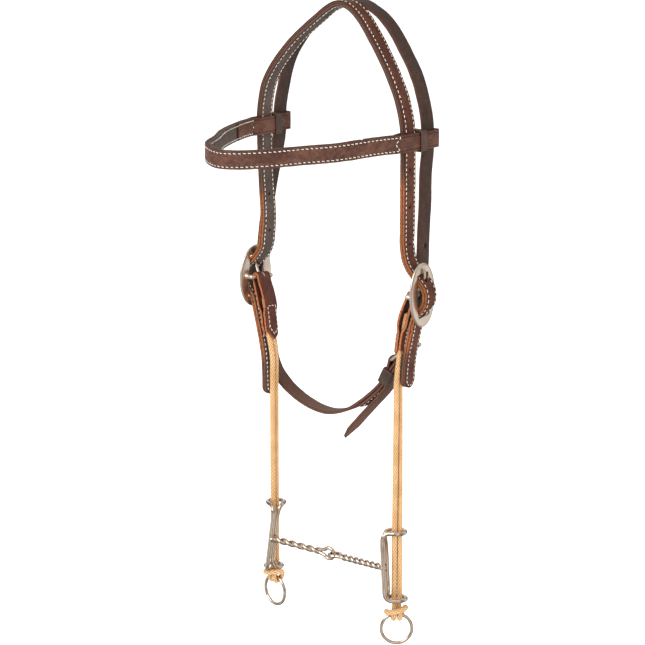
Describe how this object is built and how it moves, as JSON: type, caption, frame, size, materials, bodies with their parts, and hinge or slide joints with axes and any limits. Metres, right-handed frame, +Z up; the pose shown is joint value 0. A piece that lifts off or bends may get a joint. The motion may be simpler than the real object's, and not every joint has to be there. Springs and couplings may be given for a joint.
{
  "type": "browband headstall with gag bit",
  "caption": "Leather bridle headstall with browband and throatlatch; a jointed wire gag bit slides on doubled cords that end in rein rings.",
  "frame": {"origin": "underside of the crown strap at the poll, on the mid-plane", "axes": "+Z up, +X the horse's left, -Y the horse's front"},
  "size_m": [0.2144, 0.1944, 0.5821],
  "materials": {
    "leather_outer": "oiled dark brown skirting leather",
    "leather_lining": "oiled brown leather, flesh side",
    "leather_throat": "oiled dark brown strap leather",
    "latigo": "reddish brown latigo",
    "nickel": "satin nickel",
    "steel": "polished stainless steel",
    "cord": "tan braided nylon"
  },
  "bodies": {
    "headstall": {"crown_outer_ply": "leather_outer", "crown_lining_ply": "leather_lining", "throatlatch_strap": "leather_throat", "throatlatch_buckle_frame": "nickel", "browband_outer_ply": "leather_outer", "browband_lining_ply": "leather_lining", "browband_keeper_left": "leather_outer", "browband_keeper_right": "leather_outer", "cheek_buckle_frame_left": "nickel", "cheek_tab_left": "latigo", "draw_cord_left": "cord", "cheek_buckle_frame_right": "nickel", "cheek_tab_right": "latigo", "draw_cord_right": "cord"},
    "bit_half_left": {"bit_cheek_left": "steel", "mouth_wire_left": "steel"},
    "bit_half_right": {"bit_cheek_right": "steel", "mouth_wire_right": "steel"},
    "ring_left": {"rein_ring_left": "steel"},
    "ring_right": {"rein_ring_right": "steel"},
    "cheek_tongue_left": {"cheek_buckle_tongue_left": "nickel"},
    "cheek_tongue_right": {"cheek_buckle_tongue_right": "nickel"},
    "throat_tongue": {"throatlatch_buckle_tongue": "nickel"},
    "throat_keeper": {"throatlatch_keeper": "leather_throat"}
  },
  "joints": [
    {"name": "bit_slide_left", "type": "slide", "parent": "headstall", "child": "bit_half_left", "axis": [0, 0, 1], "range_m": [0, 0.095]},
    {"name": "bit_slide_right", "type": "slide", "parent": "headstall", "child": "bit_half_right", "axis": [0, 0, 1], "range_m": [0, 0.095]},
    {"name": "ring_swing_left", "type": "hinge", "parent": "headstall", "child": "ring_left", "pos_m": [0.0724, -0.0102, -0.54735], "axis": [0.7772, 0.6292, 0], "range_deg": [-75, 75]},
    {"name": "ring_swing_right", "type": "hinge", "parent": "headstall", "child": "ring_right", "pos_m": [-0.0724, -0.0102, -0.54235], "axis": [0.9848, -0.174, 0], "range_deg": [-75, 75]},
    {"name": "cheek_tongue_hinge_left", "type": "hinge", "parent": "headstall", "child": "cheek_tongue_left", "pos_m": [0.08902, -0.00859, -0.24635], "axis": [-0.0782, 0.9938, 0.0785], "range_deg": [0, 6]},
    {"name": "cheek_tongue_hinge_right", "type": "hinge", "parent": "headstall", "child": "cheek_tongue_right", "pos_m": [-0.08902, -0.00859, -0.25435], "axis": [-0.0783, -0.9945, 0.0698], "range_deg": [0, 6]},
    {"name": "throat_tongue_hinge", "type": "hinge", "parent": "headstall", "child": "throat_tongue", "pos_m": [0.05542, 0.0113, -0.31382], "axis": [0, 1, 0], "range_deg": [0, 5]},
    {"name": "throat_keeper_slide", "type": "slide", "parent": "headstall", "child": "throat_keeper", "axis": [0.4639, 0, 0.8859], "range_m": [-0.002, 0.003]}
  ],
  "couplings": [
    {"joint": "bit_slide_right", "follows": "bit_slide_left", "ratio": 1}
  ]
}
